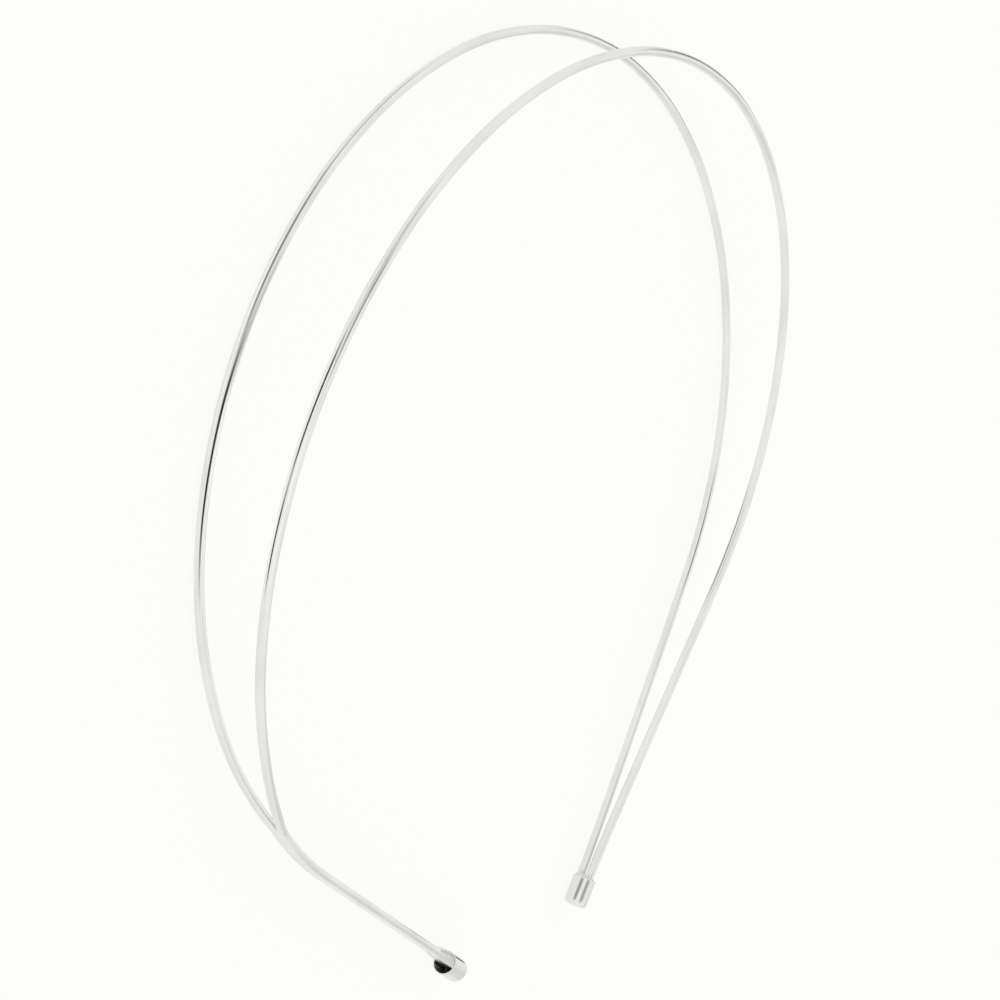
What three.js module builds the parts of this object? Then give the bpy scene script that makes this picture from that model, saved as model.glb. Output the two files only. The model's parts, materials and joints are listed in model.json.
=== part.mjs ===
// Metal headband: two round wires bent to one open arch, spread apart over the crown and held side by side
// in a small hollow cap at each end. It lies on its side, the way a springy hoop rests on a table.
import * as THREE from 'three';

// Driving dimensions, in millimetres and degrees.
const WIRE_DIAMETER = 1.4;
const ARCH_RADIUS = 64.9; // of the arch's middle line, over the crown and down both sides
const ARM_LENGTH = 200; // along the middle line, from the crown to the closed end of a cap
const LEFT_TURN = 134.4; // from the crown's direction to the straight leg's, on the arm that curls in further
const RIGHT_TURN = 125.6;
const CROWN_SPREAD = 17.6; // between the two wires' middle lines over the crown
const LEFT_END_SPREAD = 1.46; // between them inside a cap
const RIGHT_END_SPREAD = 1.7;
const LEFT_JOIN = 58.4; // on the left arm the wires part only this far above the cap's mouth
const RIGHT_JOIN = 0;
const LEFT_POWER = 0.5; // 1 leaves each wire in a plane, and less opens the pair sooner above the join
const RIGHT_POWER = 1;
const JOIN_SOFTNESS = 0.05; // rounds the bend where the wires part, as a share of the rise to the crown
// A cap is a round tube with one end closed.
const CAP_LENGTH = 5;
const CAP_DIAMETER = 3.9;
const CAP_WALL = 0.2;
const CAP_FLOOR = 0.8; // thickness of the closed end
const CAP_ROUNDING = 0.8; // of the closed end's edge
const LEFT_CAP_SHIFT = 0.55; // from the wires' middle lines out to the middle of the cap
const RIGHT_CAP_SHIFT = 0.2;
const WIRE_STOP = 0.15; // left free between a wire's end and the cap's floor

// Fineness of the round shapes.
const WIRE_STEPS = 200;
const WIRE_SIDES = 16;
const CAP_SIDES = 48;
const ROUNDING_STEPS = 5;

const WIRE_RADIUS = WIRE_DIAMETER / 2;
const CAP_RADIUS = CAP_DIAMETER / 2;
const WIRE_REACH = ARM_LENGTH - CAP_FLOOR - WIRE_STOP;

const left = {
  side: -1,
  turn: THREE.MathUtils.degToRad(LEFT_TURN),
  endSpread: LEFT_END_SPREAD,
  join: LEFT_JOIN,
  power: LEFT_POWER,
  capShift: LEFT_CAP_SHIFT,
};
const right = {
  side: 1,
  turn: THREE.MathUtils.degToRad(RIGHT_TURN),
  endSpread: RIGHT_END_SPREAD,
  join: RIGHT_JOIN,
  power: RIGHT_POWER,
  capShift: RIGHT_CAP_SHIFT,
};

const silver = { color: 0xd8d9db, metalness: 1, roughness: 0.18 };

// Point of the arch's middle line at a distance from the crown, which is at the origin, above the ends.
function armPoint({ side, turn }, distance) {
  const bend = Math.min(distance / ARCH_RADIUS, turn);
  const leg = distance - bend * ARCH_RADIUS;
  const x = ARCH_RADIUS * Math.sin(bend) + leg * Math.cos(turn);
  const y = -ARCH_RADIUS * (1 - Math.cos(bend)) - leg * Math.sin(turn);
  return new THREE.Vector3(side * x, y, 0);
}

// Distance between the wires: side by side in the caps, and wider the further they rise from the join.
function spreadAt(arm, distance) {
  const joinDrop = armPoint(arm, ARM_LENGTH - CAP_LENGTH - arm.join).y;
  const rise = Math.max(1 - armPoint(arm, distance).y / joinDrop, 0);
  const soften = (share) => Math.hypot(share, JOIN_SOFTNESS) - JOIN_SOFTNESS;
  const opened = soften(rise) / soften(1);
  return arm.endSpread + (CROWN_SPREAD - arm.endSpread) * opened ** arm.power;
}

// Middle line of one wire, from its left end to its right end. face is 1 for the front wire and -1 for the
// back wire.
class WireLine extends THREE.Curve {
  constructor(face) {
    super();
    this.face = face;
  }

  getPoint(t, target = new THREE.Vector3()) {
    const along = (2 * t - 1) * WIRE_REACH;
    const arm = along < 0 ? left : right;
    const distance = Math.abs(along);
    target.copy(armPoint(arm, distance));
    target.z = (this.face * spreadAt(arm, distance)) / 2;
    return target;
  }
}

function wire(name, face) {
  const section = new THREE.Shape().absarc(0, 0, WIRE_RADIUS, 0, 2 * Math.PI);
  const geometry = new THREE.ExtrudeGeometry(section, {
    steps: WIRE_STEPS,
    curveSegments: WIRE_SIDES / 2,
    extrudePath: new WireLine(face),
  });
  const mesh = new THREE.Mesh(geometry, new THREE.MeshStandardMaterial(silver));
  mesh.name = name;
  return mesh;
}

// Half section of a cap: the closed end, its rounded edge, the outside, the mouth, the bore and the floor.
function capSection() {
  const bore = CAP_RADIUS - CAP_WALL;
  const corner = CAP_RADIUS - CAP_ROUNDING;
  const section = new THREE.Path();
  section.moveTo(0, 0);
  section.lineTo(corner, 0);
  section.absarc(corner, CAP_ROUNDING, CAP_ROUNDING, -Math.PI / 2, 0);
  section.lineTo(CAP_RADIUS, CAP_LENGTH);
  section.lineTo(bore, CAP_LENGTH);
  section.lineTo(bore, CAP_FLOOR);
  section.lineTo(0, CAP_FLOOR);
  return section.getPoints(ROUNDING_STEPS);
}

function cap(name, arm) {
  const geometry = new THREE.LatheGeometry(capSection(), CAP_SIDES);
  const mesh = new THREE.Mesh(geometry, new THREE.MeshStandardMaterial(silver));
  mesh.name = name;
  const upTheLeg = new THREE.Vector3(-arm.side * Math.cos(arm.turn), Math.sin(arm.turn), 0);
  const outwards = new THREE.Vector3(arm.side * Math.sin(arm.turn), Math.cos(arm.turn), 0);
  mesh.quaternion.setFromUnitVectors(new THREE.Vector3(0, 1, 0), upTheLeg);
  mesh.position.copy(armPoint(arm, ARM_LENGTH)).addScaledVector(outwards, arm.capShift);
  return mesh;
}

// Lying, the band rests on the crown of the back wire and on the caps, so its middle plane slopes down to
// the ends.
function restSlope() {
  const drop = CROWN_SPREAD / 2;
  const ends = [left, right].map((arm) => -armPoint(arm, ARM_LENGTH - CAP_ROUNDING).y);
  const reach = Math.max(...ends);
  return Math.atan2(drop, reach) - Math.asin((CAP_RADIUS - WIRE_RADIUS) / Math.hypot(drop, reach));
}

const arch = new THREE.Group();
arch.add(wire('wire_front', 1));
arch.add(wire('wire_back', -1));
arch.add(cap('cap_left', left));
arch.add(cap('cap_right', right));
arch.rotation.x = restSlope();

// The origin is under the middle of the band, on the surface that it lies on.
const box = new THREE.Box3().setFromObject(arch, true);
const middle = box.getCenter(new THREE.Vector3());
arch.position.set(-middle.x, -middle.y, -box.min.z);

const headband = new THREE.Group();
headband.name = 'metal_headband';
headband.add(arch);

export default headband;
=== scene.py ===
"""Metal headband: two polished wires in one open arch, held side by side in a small cap at each end."""
import json
import math

import bpy
from mathutils import Matrix, Vector


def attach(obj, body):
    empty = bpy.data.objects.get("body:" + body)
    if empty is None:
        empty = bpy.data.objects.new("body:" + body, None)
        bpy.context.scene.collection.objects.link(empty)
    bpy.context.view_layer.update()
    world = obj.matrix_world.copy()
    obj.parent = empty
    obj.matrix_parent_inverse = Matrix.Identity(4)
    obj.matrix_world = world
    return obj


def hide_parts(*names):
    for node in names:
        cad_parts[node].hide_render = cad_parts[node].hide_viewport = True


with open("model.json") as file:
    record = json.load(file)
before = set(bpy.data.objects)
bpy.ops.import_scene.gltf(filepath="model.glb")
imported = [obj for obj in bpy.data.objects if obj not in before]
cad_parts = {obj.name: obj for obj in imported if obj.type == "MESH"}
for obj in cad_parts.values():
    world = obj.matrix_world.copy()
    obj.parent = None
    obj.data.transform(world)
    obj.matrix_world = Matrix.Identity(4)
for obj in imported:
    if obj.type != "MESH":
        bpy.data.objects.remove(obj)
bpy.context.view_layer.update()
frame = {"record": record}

MM = 0.001
TINY = 1e-6

# Driving dimensions of the CAD part, in metres and radians. Sides are -1 for the left arm, 1 for the right.
WIRE_RADIUS = 0.7 * MM
ARCH_RADIUS = 64.9 * MM
ARM_LENGTH = 200 * MM
TURNS = {-1: math.radians(134.4), 1: math.radians(125.6)}
CROWN_SPREAD = 17.6 * MM
END_SPREADS = {-1: 1.46 * MM, 1: 1.7 * MM}
JOINS = {-1: 58.4 * MM, 1: 0}  # how far above a cap's mouth the wires part
SPREAD_POWERS = {-1: 0.5, 1: 1}
JOIN_SOFTNESS = 0.05
CAP_LENGTH = 5 * MM
CAP_RADIUS = 1.95 * MM
CAP_WALL = 0.2 * MM
CAP_FLOOR = 0.8 * MM
CAP_ROUNDING = 0.8 * MM
CAP_SHIFTS = {-1: 0.55 * MM, 1: 0.2 * MM}  # from the wires' middle lines out to the middle of a cap
WIRE_STOP = 0.15 * MM  # left free between a wire's end and a cap's floor
WIRE_REACH = ARM_LENGTH - CAP_FLOOR - WIRE_STOP

# Finer than the CAD: rounded edges, and the small waves that bending by hand leaves in a wire.
WIRE_STEPS = 800
WIRE_SIDES = 48
WIRE_END_ROUNDING = 0.2 * MM
TANGENT_STEP = 0.01 * MM
ROUNDING_STEPS = 6
CAP_SIDES = 96
CAP_RINGS = 12
RIM_ROUNDING = 0.08 * MM
BORE_FILLET = 0.25 * MM
SHADING_WEIGHT = 100
WAVE_DEPTH = 0.05 * MM
WAVE_LENGTHS = (31 * MM, 17 * MM)
WAVE_FADE = 20 * MM
SPREAD_PHASE = 2  # sets the waves in the spread apart from those towards the inside of the arch

# Solder round the wires, from inside a cap's mouth to a thin edge a little way up the wires. It leaves the
# outer side of the bore open.
SOLDER_DEPTH = 1.4 * MM
SOLDER_RISE = {-1: 5.5 * MM, 1: 0.4 * MM}
SOLDER_SWELL = {-1: 1 * MM, 1: 0.35 * MM}
SOLDER_SHOULDER = 0.2 * MM  # how far below the rim it starts to thin
SOLDER_POWER = 1.4
SOLDER_SINK = 0.06 * MM  # takes its thin edge into the wires
SOLDER_OVERLAP = 0.07 * MM  # onto the rim, and hidden in the wall below it
SOLDER_UNDER = 0.2 * MM  # past the outer side of the wires
SOLDER_SIDES = 72
SOLDER_STEPS = 28

# Looks.
BRIGHT_SILVER = (0.82, 0.82, 0.815, 1)
DULL_SILVER = (0.74, 0.74, 0.73, 1)
WORN_EDGE = (0.80, 0.76, 0.66, 1)
WORN_MOST = 0.7
WORN_SHARPNESS = (0.53, 0.62)  # pointiness at which an edge starts to wear and is worn
BRIGHT_SOLDER = (0.76, 0.76, 0.75, 1)
DULL_SOLDER = (0.62, 0.62, 0.6, 1)
POLISHED = (0.09, 0.19)  # roughness, least and most
DULL = (0.32, 0.46)
SCRATCH_ROUGHNESS = 0.12
# Painted shade for the inside of the caps' bores: near black, with greyer patches, in place of the shade in
# the hollow.
BORE_SHADE_DARK = (0.06, 0.06, 0.056, 1)
BORE_SHADE_GREY = (0.42, 0.41, 0.38, 1)
BORE_SHADE_ROUGHNESS = (0.5, 0.75)
PAPER = Vector((0.982, 0.991, 0.947))
PAPER_SHADE = 0.1  # share of the floor's brightness that a shadow can take away
FLOOR_SIZE = 8

# Marks in the metal: patches to the metre along it, patches to the metre across it, and detail.
LINE_MARKS = (40, 5000, 3)
FILM_MARKS = (90, 500, 3)
GRAIN_MARKS = (4000, 9000, 3)
SCRATCH_MARKS = (700, 2600, 6)
BLOTCH_MARKS = (1400, 1400, 5)
# Parts of the marks' noise over which each kind sets in.
LINE_RANGE = (0.3, 0.7)
FILM_RANGE = (0.4, 0.7)
SCRATCH_RANGE = (0.62, 0.66)
BLOTCH_RANGE = (0.45, 0.65)
BORE_SHADE_RANGE = (0.3, 0.7)
# Their bumps, as strength and height.
LINE_BUMP = (0.25, 0.006 * MM)
GRAIN_BUMP = (0.15, 0.002 * MM)
SCRATCH_BUMP = (-0.2, 0.002 * MM)
BLOTCH_BUMP = (0.6, 0.05 * MM)

# Darker places in the white surroundings, as azimuth, elevation, half width and half height in degrees, and
# the share of light that each takes.
DARK_PLACES = (
    (136, 70, 17, 9, 0.22),
    (112, 22, 20, 35, 0.3),
    (3, 8, 12, 14, 0.75),
    (304, 16, 28, 20, 0.2),
)
PLACE_CORE = 0.5  # in half widths, where a place starts to fade
PLACE_RIM = 1.5
PLACE_DEPTH = 0.2  # keeps a place from showing again on the opposite side

# Soft black flags close to the metal, hidden from the camera, which the polished metal mirrors as dark lines.
# Each follows a wire, 1 for the front and -1 for the back, or a cap, 0. Then come its start and its stop
# along the arm and its distance from the middle of the metal, in millimetres, the angles above the level
# between which the metal sees it at the start and at the stop, and the share of light that it takes.
LEFT_FLAGS = {
    "back_flag": (-1, 54, 104, 5, (35, 110), (20, 58), 1),
    "back_upper_flag": (-1, 31, 70, 5, (-3, 37), (6, 52), 0.8),
    "back_top_flag": (-1, 6, 44, 5, (-10, 28), (-1, 42), 0.6),
    "back_edge_flag": (-1, 46, 72, 5, (96, 132), (96, 132), 0.7),
    "front_flag": (1, 54, 84, 5, (-23, 25), (-22, 12), 1),
    "front_lower_flag": (1, 77, 97, 5, (-31, 6), (-31, 6), 1),
    "front_upper_flag": (1, 42, 68, 5, (40, 84), (40, 84), 0.75),
    "left_cap_flag": (0, 200, 205.4, 5, (168, 194), (168, 194), 1),
}
RIGHT_FLAGS = {
    "right_back_flag": (-1, 120, 148, 5, (54, 88), (54, 88), 0.8),
    "right_front_flag": (1, 124, 150, 5, (0, 26), (0, 26), 0.6),
    "right_cap_low_flag": (0, 194.3, 200.2, 12, (-9, 26), (-9, 26), 0.8),
    "right_cap_high_flag": (0, 194.3, 200.2, 12, (48, 90), (48, 90), 0.68),
}
# White cards, placed in the same way, which the metal mirrors as bright lines beside the dark ones.
LEFT_CARDS = {
    "back_card": (-1, 66, 98, 5, (100, 152), (92, 146), 0.9),
    "back_near_card": (-1, 42, 84, 1.1, (-14, 9), (-14, 9), 0.9),
    "front_card": (1, 66, 100, 5, (40, 80), (30, 70), 0.9),
    "front_edge_card": (1, 48, 104, 5, (-96, -38), (-96, -38), 0.95),
}
WIRE_FLAG_FADE = 0.36  # at each end, as a share of the length
CAP_FLAG_FADE = 0.14
FLAG_EDGE_FADE = 0.25
FLAG_STEPS = 16
FLAG_LIGHT = 0.02
CARD_LIGHT = 1.15
FLAG_SETS = (
    (-1, FLAG_LIGHT, LEFT_FLAGS),
    (-1, CARD_LIGHT, LEFT_CARDS),
    (1, FLAG_LIGHT, RIGHT_FLAGS),
)

CAMERA_PLACE = Vector((-276.34, 151.85, 205.13)) * MM
CAMERA_FORWARD = Vector((0.74063, -0.3922, -0.54558))
CAMERA_UP = Vector((0.32091, 0.91985, -0.2256))
CAMERA_LENS = 90
CAMERA_SENSOR = 36
CAMERA_CLIP = 10 * MM


# The arch, with its crown at the origin, X ear to ear, Y up to the crown and Z to the front wire.

def arm_point(side, distance):
    """Point of the middle line at a distance from the crown."""
    turn = TURNS[side]
    bend = min(distance / ARCH_RADIUS, turn)
    leg = distance - bend * ARCH_RADIUS
    x = ARCH_RADIUS * math.sin(bend) + leg * math.cos(turn)
    y = -ARCH_RADIUS * (1 - math.cos(bend)) - leg * math.sin(turn)
    return Vector((side * x, y, 0))


def inwards(side, distance):
    """Direction from the middle line towards the inside of the arch."""
    bend = min(distance / ARCH_RADIUS, TURNS[side])
    return Vector((-side * math.sin(bend), -math.cos(bend), 0))


def soften(share):
    return math.hypot(share, JOIN_SOFTNESS) - JOIN_SOFTNESS


def opened_at(side, distance):
    """How far the wires have parted, from 0 at the join to 1 at the crown."""
    join_drop = arm_point(side, ARM_LENGTH - CAP_LENGTH - JOINS[side]).y
    rise = max(1 - arm_point(side, distance).y / join_drop, 0)
    return (soften(rise) / soften(1)) ** SPREAD_POWERS[side]


def wave(along, phase):
    """How far a bent wire strays from its true line, always to the same side, and less towards its ends."""
    long_wave, short_wave = (math.sin(2 * math.pi * along / length + phase) for length in WAVE_LENGTHS)
    fade = min(max((WIRE_REACH - abs(along)) / WAVE_FADE, 0), 1)
    return WAVE_DEPTH * fade * (2 + long_wave + short_wave) / 4


def wire_point(face, along):
    """Point of a wire's middle line. face is 1 for the front wire, -1 for the back."""
    side = -1 if along < 0 else 1
    distance = abs(along)
    opened = opened_at(side, distance)
    half_spread = (END_SPREADS[side] + (CROWN_SPREAD - END_SPREADS[side]) * opened) / 2
    point = arm_point(side, distance) + inwards(side, distance) * wave(along, face)
    point.z = face * (half_spread - opened * wave(along, face + SPREAD_PHASE))
    return point


def cap_point(side, distance):
    """Point of the line through the middle of a cap."""
    return arm_point(side, distance) - inwards(side, distance) * CAP_SHIFTS[side]


def cap_frame(side):
    """Middle of a cap's closed end, and the directions across the two wires, inwards and up the leg."""
    inner = inwards(side, ARM_LENGTH)
    up_the_leg = Vector((-side * math.cos(TURNS[side]), math.sin(TURNS[side]), 0))
    return cap_point(side, ARM_LENGTH), inner.cross(up_the_leg), inner, up_the_leg


def arch_matrix():
    """Where the arch lies, from the flat ends of the two caps."""
    mounts = {mount["name"]: mount for mount in frame["record"]["mounts"]}
    left = Vector(mounts["left_tip"]["axis"])
    right = Vector(mounts["right_tip"]["axis"])
    front = right.cross(left).normalized()
    across = Vector((1, 0, 0))
    turn = Matrix((across, front.cross(across), front)).transposed()
    crown = Vector(mounts["right_tip"]["pos_m"]) - turn @ cap_point(1, ARM_LENGTH)
    return Matrix.Translation(crown) @ turn.to_4x4()


ARCH = arch_matrix()


# Pieces. Each vertex keeps its place in the straight, unbent metal, so that marks follow the metal.

def link(name, data):
    made = bpy.data.objects.new(name, data)
    bpy.context.collection.objects.link(made)
    return made


def add_piece(name, mesh, straight, materials, node=None):
    attribute = mesh.attributes.new("straight", "FLOAT_VECTOR", "POINT")
    for item, place in zip(attribute.data, straight):
        item.vector = place
    mesh.shade_smooth()
    for material in materials:
        mesh.materials.append(material)
    piece = link(name, mesh)
    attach(piece, "root")
    if node:
        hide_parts(node)
    return piece


def lofted(name, vertices, sides):
    """Mesh through rings of so many vertices, closed at the first ring and at the last."""
    faces = []
    for first in range(0, len(vertices) - sides, sides):
        for side in range(sides):
            here = first + side
            beyond = first + (side + 1) % sides
            faces.append((here, beyond, beyond + sides, here + sides))
    faces.append(tuple(reversed(range(sides))))
    faces.append(tuple(range(len(vertices) - sides, len(vertices))))
    mesh = bpy.data.meshes.new(name)
    mesh.from_pydata(vertices, [], faces)
    return mesh


def rounded_end():
    """Steps round the edge of a flat end: how far in from the side and from the end, as shares."""
    for step in range(ROUNDING_STEPS + 1):
        angle = math.pi / 2 * step / ROUNDING_STEPS
        yield 1 - math.sin(angle), 1 - math.cos(angle)


def wire_stations():
    """Distances along a wire, from its left end to its right, each with the wire's radius there."""
    start = [(-WIRE_REACH + back * WIRE_END_ROUNDING, WIRE_RADIUS - inset * WIRE_END_ROUNDING)
             for inset, back in rounded_end()]
    reach = WIRE_REACH - WIRE_END_ROUNDING
    middle = [(reach * (2 * step / WIRE_STEPS - 1), WIRE_RADIUS) for step in range(1, WIRE_STEPS)]
    finish = [(-along, radius) for along, radius in reversed(start)]
    return start + middle + finish


def wire_piece(name, face, material, node):
    vertices = []
    straight = []
    for along, radius in wire_stations():
        middle = wire_point(face, along)
        ahead = wire_point(face, along + TANGENT_STEP)
        behind = wire_point(face, along - TANGENT_STEP)
        tangent = (ahead - behind).normalized()
        inner = inwards(-1 if along < 0 else 1, abs(along))
        inner = (inner - tangent * inner.dot(tangent)).normalized()
        beside = tangent.cross(inner)
        for side in range(WIRE_SIDES):
            angle = 2 * math.pi * side / WIRE_SIDES
            towards_inner = radius * math.cos(angle)
            towards_beside = radius * math.sin(angle)
            vertices.append(ARCH @ (middle + inner * towards_inner + beside * towards_beside))
            straight.append((along, towards_inner, towards_beside))
    mesh = lofted(name, vertices, WIRE_SIDES)
    add_piece(name, mesh, straight, [material], node)


def arc(radius, height, size, start, stop):
    """Quarter turn of a section, round a centre, from one angle to the other in degrees."""
    for step in range(ROUNDING_STEPS + 1):
        angle = math.radians(start + (stop - start) * step / ROUNDING_STEPS)
        yield radius + size * math.cos(angle), height + size * math.sin(angle)


def cap_section():
    """Half section of a cap, as radius and height: outside up to the rim, then inside to the floor."""
    bore = CAP_RADIUS - CAP_WALL
    outside = list(arc(CAP_RADIUS - CAP_ROUNDING, CAP_ROUNDING, CAP_ROUNDING, -90, 0))
    wall = CAP_LENGTH - RIM_ROUNDING - CAP_ROUNDING
    outside += [(CAP_RADIUS, CAP_ROUNDING + wall * ring / CAP_RINGS) for ring in range(1, CAP_RINGS)]
    outside += arc(CAP_RADIUS - RIM_ROUNDING, CAP_LENGTH - RIM_ROUNDING, RIM_ROUNDING, 0, 90)
    outside += arc(bore + RIM_ROUNDING, CAP_LENGTH - RIM_ROUNDING, RIM_ROUNDING, 90, 180)
    inside = list(arc(bore - BORE_FILLET, CAP_FLOOR + BORE_FILLET, BORE_FILLET, 0, -90))
    return outside, inside


def cap_piece(name, side, materials, node):
    """A cap turned about the line along its leg, with painted shade on its inside."""
    outside, inside = cap_section()
    end, across, inner, up_the_leg = cap_frame(side)
    vertices = []
    straight = []
    for radius, height in outside + inside:
        for step in range(CAP_SIDES):
            angle = 2 * math.pi * step / CAP_SIDES
            x = radius * math.cos(angle)
            y = radius * math.sin(angle)
            vertices.append(ARCH @ (end + across * x + inner * y + up_the_leg * height))
            straight.append((height, x, y))
    mesh = lofted(name, vertices, CAP_SIDES)
    piece = add_piece(name, mesh, straight, materials, node)
    # The faces inside the bore take the second material, the painted shade of the hollow.
    first_inside = (len(outside) - 1) * CAP_SIDES
    closed_end = len(mesh.polygons) - 2
    for polygon in mesh.polygons:
        if polygon.index >= first_inside and polygon.index != closed_end:
            polygon.material_index = 1
    weighted = piece.modifiers.new("even_shading", "WEIGHTED_NORMAL")
    weighted.weight = SHADING_WEIGHT


def to_circle(x, y, radius, towards_x, towards_y):
    """How far from a point inside a circle round the origin its edge is, in a direction."""
    along = x * towards_x + y * towards_y
    return -along + math.sqrt(max(along * along + radius * radius - x * x - y * y, 0))


def to_pair(half_spread, radius, towards_x, towards_y):
    """How far the outside of two wires in a row along x is from their middle, in a direction."""
    flat = radius / max(abs(towards_y), TINY)
    if flat * abs(towards_x) < half_spread:
        return flat
    return to_circle(-half_spread, 0, radius, abs(towards_x), towards_y)


def solder_piece(name, side, material):
    """Solder that fills a cap's mouth round the wires and thins out along them."""
    end, across, inner, up_the_leg = cap_frame(side)
    bore = CAP_RADIUS - CAP_WALL + SOLDER_OVERLAP
    half_spread = END_SPREADS[side] / 2
    vertices = []
    straight = []
    for step in range(SOLDER_STEPS + 1):
        share = step / SOLDER_STEPS
        height = CAP_LENGTH - SOLDER_DEPTH + (SOLDER_DEPTH + SOLDER_RISE[side]) * share
        risen = (height - CAP_LENGTH + SOLDER_SHOULDER) / (SOLDER_RISE[side] + SOLDER_SHOULDER)
        risen = min(max(risen, 0), 1)
        swell = SOLDER_SWELL[side] * (1 - risen) ** SOLDER_POWER
        radius = WIRE_RADIUS + swell - SOLDER_SINK * risen
        lowest = WIRE_RADIUS + SOLDER_UNDER * (1 - risen)
        for turn in range(SOLDER_SIDES):
            angle = 2 * math.pi * turn / SOLDER_SIDES
            towards_x = math.cos(angle)
            towards_y = math.sin(angle)
            reach = to_pair(half_spread, radius, towards_x, towards_y)
            reach = min(reach, to_circle(0, CAP_SHIFTS[side], bore, towards_x, towards_y))
            if towards_y < 0:
                reach = min(reach, lowest / -towards_y)
            x = reach * towards_x
            y = CAP_SHIFTS[side] + reach * towards_y
            vertices.append(ARCH @ (end + across * x + inner * y + up_the_leg * height))
            straight.append((height, x, y))
    mesh = lofted(name, vertices, SOLDER_SIDES)
    add_piece(name, mesh, straight, [material])


# Materials.

def add_node(tree, kind, inputs=None, **settings):
    made = tree.nodes.new(kind)
    for key, value in settings.items():
        setattr(made, key, value)
    for key, value in (inputs or {}).items():
        if isinstance(value, bpy.types.NodeSocket):
            tree.links.new(value, made.inputs[key])
        else:
            made.inputs[key].default_value = value
    return made


def metal_noise(tree, along, across, detail):
    """Noise with patches so many to the metre, along the metal and across it."""
    place = add_node(tree, "ShaderNodeAttribute", attribute_name="straight").outputs["Vector"]
    scaled = add_node(tree, "ShaderNodeMapping", {"Vector": place, "Scale": (along, across, across)})
    inputs = {"Vector": scaled.outputs[0], "Scale": 1, "Detail": detail}
    return add_node(tree, "ShaderNodeTexNoise", inputs).outputs["Fac"]


def ranged(tree, value, start, stop, low, high, shape="LINEAR"):
    inputs = {"Value": value, "From Min": start, "From Max": stop, "To Min": low, "To Max": high}
    return add_node(tree, "ShaderNodeMapRange", inputs, interpolation_type=shape).outputs["Result"]


def math_node(tree, operation, *values):
    inputs = dict(enumerate(values))
    return add_node(tree, "ShaderNodeMath", inputs, operation=operation).outputs[0]


def blend(tree, factor, first, second):
    inputs = {"Factor": factor, 6: first, 7: second}
    return add_node(tree, "ShaderNodeMix", inputs, data_type="RGBA").outputs[2]


def bump(tree, height, strength, distance, normal=None):
    inputs = {"Height": height, "Strength": strength, "Distance": distance}
    if normal:
        inputs["Normal"] = normal
    return add_node(tree, "ShaderNodeBump", inputs).outputs["Normal"]


def new_material(name):
    material = bpy.data.materials.new(name)
    material.use_nodes = True
    tree = material.node_tree
    tree.nodes.clear()
    return material, tree


def finish_material(tree, inputs):
    shader = add_node(tree, "ShaderNodeBsdfPrincipled", inputs)
    add_node(tree, "ShaderNodeOutputMaterial", {"Surface": shader.outputs[0]})


def silver_plate(name, bright, dull, roughness, worn_edges):
    """Plate over drawn metal: lines along it, a thin dull film in patches, and fine scratches."""
    material, tree = new_material(name)
    lines = metal_noise(tree, *LINE_MARKS)
    film = metal_noise(tree, *FILM_MARKS)
    grain = metal_noise(tree, *GRAIN_MARKS)
    scratches = ranged(tree, metal_noise(tree, *SCRATCH_MARKS), *SCRATCH_RANGE, 0, 1)
    color = blend(tree, ranged(tree, film, *FILM_RANGE, 0, 1), bright, dull)
    if worn_edges:
        sharpness = add_node(tree, "ShaderNodeNewGeometry").outputs["Pointiness"]
        worn = ranged(tree, sharpness, *WORN_SHARPNESS, 0, WORN_MOST)
        color = blend(tree, worn, color, WORN_EDGE)
    smooth = ranged(tree, lines, *LINE_RANGE, *roughness)
    rough = math_node(tree, "MULTIPLY_ADD", scratches, SCRATCH_ROUGHNESS, smooth)
    normal = bump(tree, lines, *LINE_BUMP)
    normal = bump(tree, grain, *GRAIN_BUMP, normal)
    normal = bump(tree, scratches, *SCRATCH_BUMP, normal)
    finish_material(tree, {"Base Color": color, "Metallic": 1, "Roughness": rough, "Normal": normal})
    return material


def painted_bore_shade(name):
    """Inside of a cap: painted shade of its hollow, near black and dull, with greyer patches and small lumps.
    """
    material, tree = new_material(name)
    blotches = metal_noise(tree, *BLOTCH_MARKS)
    grey = ranged(tree, blotches, *BLOTCH_RANGE, 0, 1)
    color = blend(tree, grey, BORE_SHADE_DARK, BORE_SHADE_GREY)
    normal = bump(tree, blotches, *BLOTCH_BUMP)
    rough = ranged(tree, blotches, *BORE_SHADE_RANGE, *BORE_SHADE_ROUGHNESS)
    finish_material(tree, {"Base Color": color, "Roughness": rough, "Normal": normal})
    return material


def paper(name):
    """White ground lit from behind, which takes only faint shadows."""
    material, tree = new_material(name)
    glow = PAPER * (1 - PAPER_SHADE)
    shade = PAPER * PAPER_SHADE
    inputs = {
        "Base Color": (*shade, 1),
        "Roughness": 1,
        "Specular IOR Level": 0,
        "Emission Color": (*glow, 1),
        "Emission Strength": 1,
    }
    finish_material(tree, inputs)
    return material


# Surroundings and camera.

def direction(azimuth, elevation):
    azimuth = math.radians(azimuth)
    elevation = math.radians(elevation)
    flat = math.cos(elevation)
    return Vector((flat * math.cos(azimuth), flat * math.sin(azimuth), math.sin(elevation)))


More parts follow.
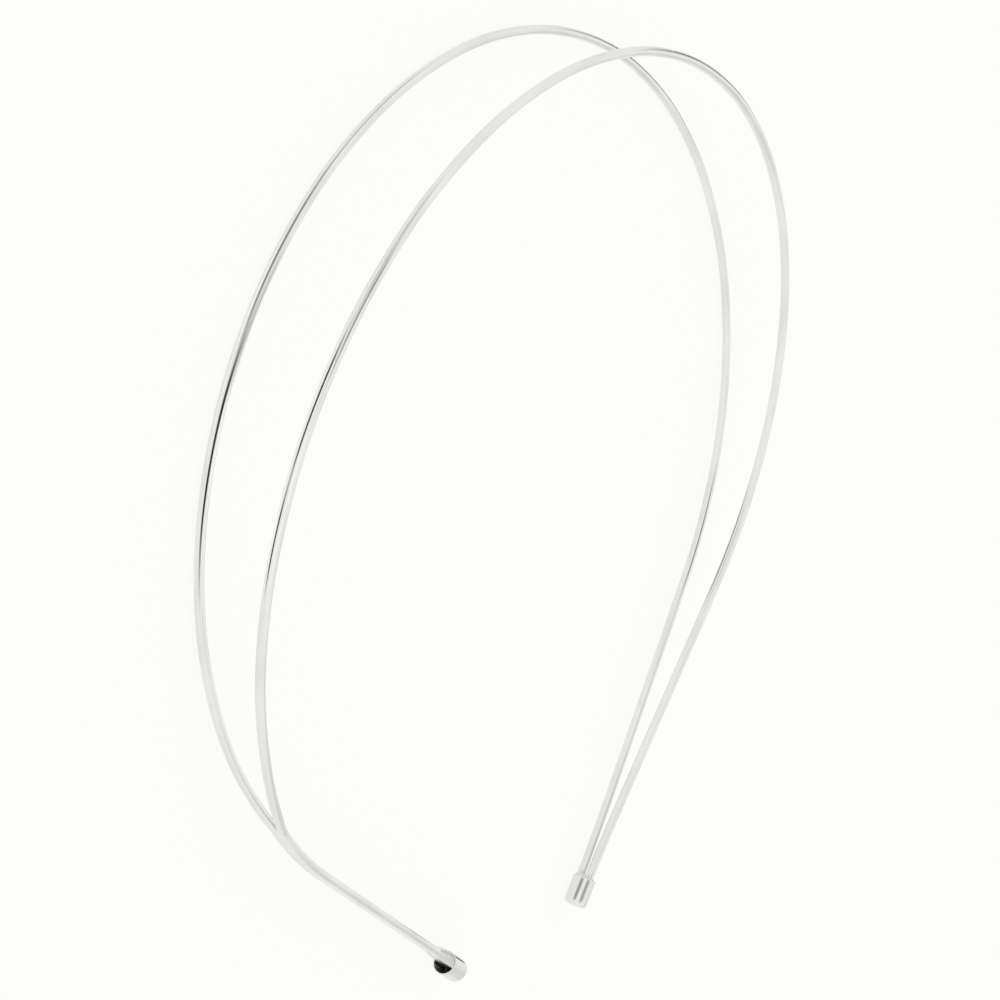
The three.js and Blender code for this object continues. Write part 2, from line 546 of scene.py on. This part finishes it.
def white_surroundings():
    """White all round, with soft darker places that the metal mirrors, and plain paper behind."""
    world = bpy.data.worlds.new("surroundings")
    world.use_nodes = True
    tree = world.node_tree
    tree.nodes.clear()
    towards = add_node(tree, "ShaderNodeTexCoord").outputs["Generated"]
    light = None
    for azimuth, elevation, half_width, half_height, taken in DARK_PLACES:
        middle = direction(azimuth, elevation)
        beside = direction(azimuth + 90, 0)
        turn = Matrix((beside, middle.cross(beside), middle)).transposed().to_euler()
        size = (math.sin(math.radians(half_width)), math.sin(math.radians(half_height)), PLACE_DEPTH)
        inputs = {"Vector": towards, "Location": middle, "Rotation": turn, "Scale": size}
        local = add_node(tree, "ShaderNodeMapping", inputs, vector_type="TEXTURE").outputs[0]
        away = add_node(tree, "ShaderNodeVectorMath", {0: local}, operation="LENGTH").outputs["Value"]
        left = ranged(tree, away, PLACE_CORE, PLACE_RIM, 1 - taken, 1, "SMOOTHSTEP")
        light = math_node(tree, "MULTIPLY", light, left) if light else left
    lit = add_node(tree, "ShaderNodeBackground", {"Color": (1, 1, 1, 1), "Strength": light})
    plain = add_node(tree, "ShaderNodeBackground", {"Color": (*PAPER, 1), "Strength": 1})
    seen = add_node(tree, "ShaderNodeLightPath").outputs["Is Camera Ray"]
    mixed = add_node(tree, "ShaderNodeMixShader", {0: seen, 1: lit.outputs[0], 2: plain.outputs[0]})
    add_node(tree, "ShaderNodeOutputWorld", {"Surface": mixed.outputs[0]})
    bpy.context.scene.world = world


def floor():
    half = FLOOR_SIZE / 2
    mesh = bpy.data.meshes.new("floor")
    corners = [(-half, -half, 0), (half, -half, 0), (half, half, 0), (-half, half, 0)]
    mesh.from_pydata(corners, [], [(0, 1, 2, 3)])
    mesh.materials.append(paper("paper"))
    ground = link("floor", mesh)


def flag_material(name, light, end_fade, taken):
    """Even light in the middle, fading to nothing towards all four edges."""
    material, tree = new_material(name)
    place = add_node(tree, "ShaderNodeTexCoord").outputs["UV"]
    spot = add_node(tree, "ShaderNodeSeparateXYZ", {0: place})
    cover = None
    for axis, fade in ((0, end_fade), (1, FLAG_EDGE_FADE)):
        centred = math_node(tree, "SUBTRACT", spot.outputs[axis], 0.5)
        off = math_node(tree, "ABSOLUTE", centred)
        held = ranged(tree, off, 0.5 - fade, 0.5, taken, 0, "SMOOTHSTEP")
        cover = math_node(tree, "MULTIPLY", cover, held) if cover else held
    even = add_node(tree, "ShaderNodeEmission", {"Color": (1, 1, 1, 1), "Strength": light})
    clear = add_node(tree, "ShaderNodeBsdfTransparent")
    mixed = add_node(tree, "ShaderNodeMixShader", {0: cover, 1: clear.outputs[0], 2: even.outputs[0]})
    add_node(tree, "ShaderNodeOutputMaterial", {"Surface": mixed.outputs[0]})
    return material


def add_flag(name, light, side, face, start, stop, away, first_angles, last_angles, taken):
    vertices = []
    for step in range(FLAG_STEPS + 1):
        share = step / FLAG_STEPS
        distance = (start + (stop - start) * share) * MM
        middle = wire_point(face, side * distance) if face else cap_point(side, distance)
        for first, last in zip(first_angles, last_angles):
            angle = math.radians(first + (last - first) * share)
            towards = inwards(side, distance) * (side * math.cos(angle))
            towards.z = math.sin(angle)
            vertices.append(ARCH @ (middle + towards * (away * MM)))
    faces = [(2 * step, 2 * step + 2, 2 * step + 3, 2 * step + 1) for step in range(FLAG_STEPS)]
    mesh = bpy.data.meshes.new(name)
    mesh.from_pydata(vertices, [], faces)
    places = mesh.uv_layers.new(name="place").data
    for loop in mesh.loops:
        step, high = divmod(loop.vertex_index, 2)
        places[loop.index].uv = (step / FLAG_STEPS, high)
    end_fade = WIRE_FLAG_FADE if face else CAP_FLAG_FADE
    mesh.materials.append(flag_material(name, light, end_fade, taken))
    flag = link(name, mesh)
    flag.visible_camera = False
    flag.visible_diffuse = False
    flag.visible_shadow = False


def camera():
    data = bpy.data.cameras.new("camera")
    data.lens = CAMERA_LENS
    data.sensor_width = CAMERA_SENSOR
    data.clip_start = CAMERA_CLIP
    right = CAMERA_FORWARD.cross(CAMERA_UP).normalized()
    up = right.cross(CAMERA_FORWARD).normalized()
    turn = Matrix((right, up, -CAMERA_FORWARD.normalized())).transposed()
    seen_from = link("camera", data)
    seen_from.matrix_world = Matrix.Translation(CAMERA_PLACE) @ turn.to_4x4()
    bpy.context.scene.camera = seen_from


camera()
floor()
for side, light, flags in FLAG_SETS:
    for name, settings in flags.items():
        add_flag(name, light, side, *settings)
white_surroundings()
bpy.context.scene.view_settings.view_transform = "Standard"

wire_silver = silver_plate("wire_silver", BRIGHT_SILVER, DULL_SILVER, POLISHED, False)
cap_silver = silver_plate("cap_silver", BRIGHT_SILVER, DULL_SILVER, POLISHED, True)
solder = silver_plate("cap_solder", BRIGHT_SOLDER, DULL_SOLDER, DULL, False)
# Painted shade for the inside of the caps, standing in for the shade in their hollows.
bore_shade = painted_bore_shade("cap_painted_shade")
wire_piece("front_wire", 1, wire_silver, "wire_front")
wire_piece("back_wire", -1, wire_silver, "wire_back")
cap_piece("left_cap", -1, [cap_silver, bore_shade], "cap_left")
cap_piece("right_cap", 1, [cap_silver, bore_shade], "cap_right")
solder_piece("left_solder", -1, solder)
solder_piece("right_solder", 1, solder)
